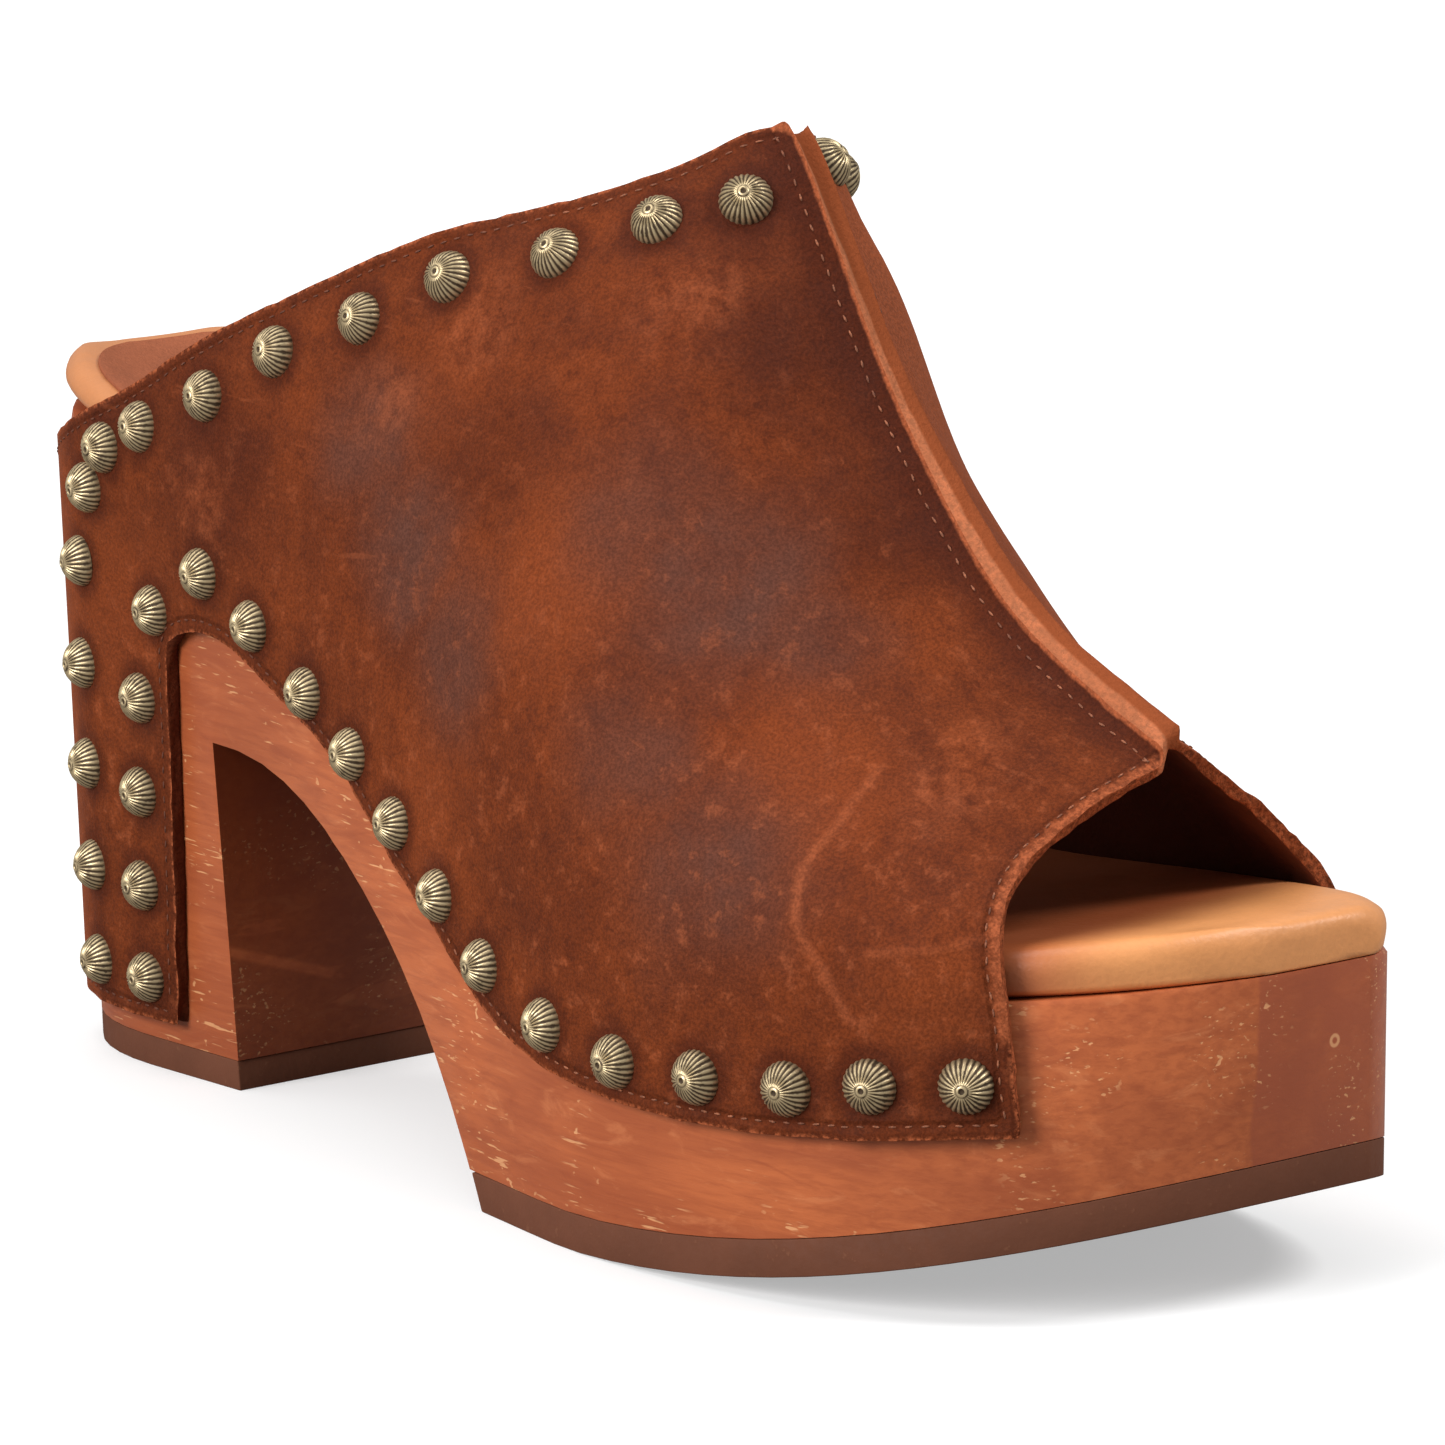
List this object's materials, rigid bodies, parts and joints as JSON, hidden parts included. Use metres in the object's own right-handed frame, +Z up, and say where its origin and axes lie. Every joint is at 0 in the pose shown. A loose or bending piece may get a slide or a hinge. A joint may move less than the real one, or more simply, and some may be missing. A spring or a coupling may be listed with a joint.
{
  "type": "wooden sandal",
  "caption": "Open-toe backless clog mule, right foot: brown leather upper with a standing centre ridge, studded along its edges to a one-piece wooden sole with platform and block heel.",
  "frame": {"origin": "middle of the bounding box, on the floor under the shoe", "axes": "+X from heel to toe, +Z up, -Y the outer (lateral) side of the right foot"},
  "size_m": [0.2418, 0.1, 0.1497],
  "materials": {
    "stained_wood": "reddish-brown stain under a satin varnish, horizontal grain, worn light flecks",
    "dark_rubber": "dark brown, matte",
    "footbed_leather": "tan smooth leather over padding, with a brown suede heel pad",
    "upper_leather": "oiled nubuck, cloudy brown with raw orange-tan edges",
    "antique_brass": "aged and darkened in the ribs, satin"
  },
  "bodies": {
    "root": {"wood_sole": "stained_wood", "outsole_forefoot": "dark_rubber", "heel_lift": "dark_rubber", "footbed": "footbed_leather", "upper": "upper_leather", "stud_inner_arch_1": "antique_brass", "stud_inner_arch_2": "antique_brass", "stud_inner_arch_3": "antique_brass", "stud_inner_arch_4": "antique_brass", "stud_inner_arch_5": "antique_brass", "stud_inner_arch_6": "antique_brass", "stud_inner_back_1": "antique_brass", "stud_inner_back_2": "antique_brass", "stud_inner_back_3": "antique_brass", "stud_inner_back_4": "antique_brass", "stud_inner_back_5": "antique_brass", "stud_inner_collar_1": "antique_brass", "stud_inner_collar_2": "antique_brass", "stud_inner_collar_3": "antique_brass", "stud_inner_inner_1": "antique_brass", "stud_inner_inner_2": "antique_brass", "stud_inner_inner_3": "antique_brass", "stud_inner_inner_4": "antique_brass", "stud_inner_inner_5": "antique_brass", "stud_inner_notch_1": "antique_brass", "stud_inner_platform_1": "antique_brass", "stud_inner_platform_2": "antique_brass", "stud_inner_platform_3": "antique_brass", "stud_inner_platform_4": "antique_brass", "stud_inner_platform_5": "antique_brass", "stud_inner_platform_6": "antique_brass", "stud_outer_arch_1": "antique_brass", "stud_outer_arch_2": "antique_brass", "stud_outer_arch_3": "antique_brass", "stud_outer_arch_4": "antique_brass", "stud_outer_arch_5": "antique_brass", "stud_outer_arch_6": "antique_brass", "stud_outer_back_1": "antique_brass", "stud_outer_back_2": "antique_brass", "stud_outer_back_3": "antique_brass", "stud_outer_back_4": "antique_brass", "stud_outer_back_5": "antique_brass", "stud_outer_collar_1": "antique_brass", "stud_outer_collar_2": "antique_brass", "stud_outer_collar_3": "antique_brass", "stud_outer_inner_1": "antique_brass", "stud_outer_inner_2": "antique_brass", "stud_outer_inner_3": "antique_brass", "stud_outer_inner_4": "antique_brass", "stud_outer_inner_5": "antique_brass", "stud_outer_notch_1": "antique_brass", "stud_outer_platform_1": "antique_brass", "stud_outer_platform_2": "antique_brass", "stud_outer_platform_3": "antique_brass", "stud_outer_platform_4": "antique_brass", "stud_outer_platform_5": "antique_brass", "stud_outer_platform_6": "antique_brass"}
  },
  "joints": []
}
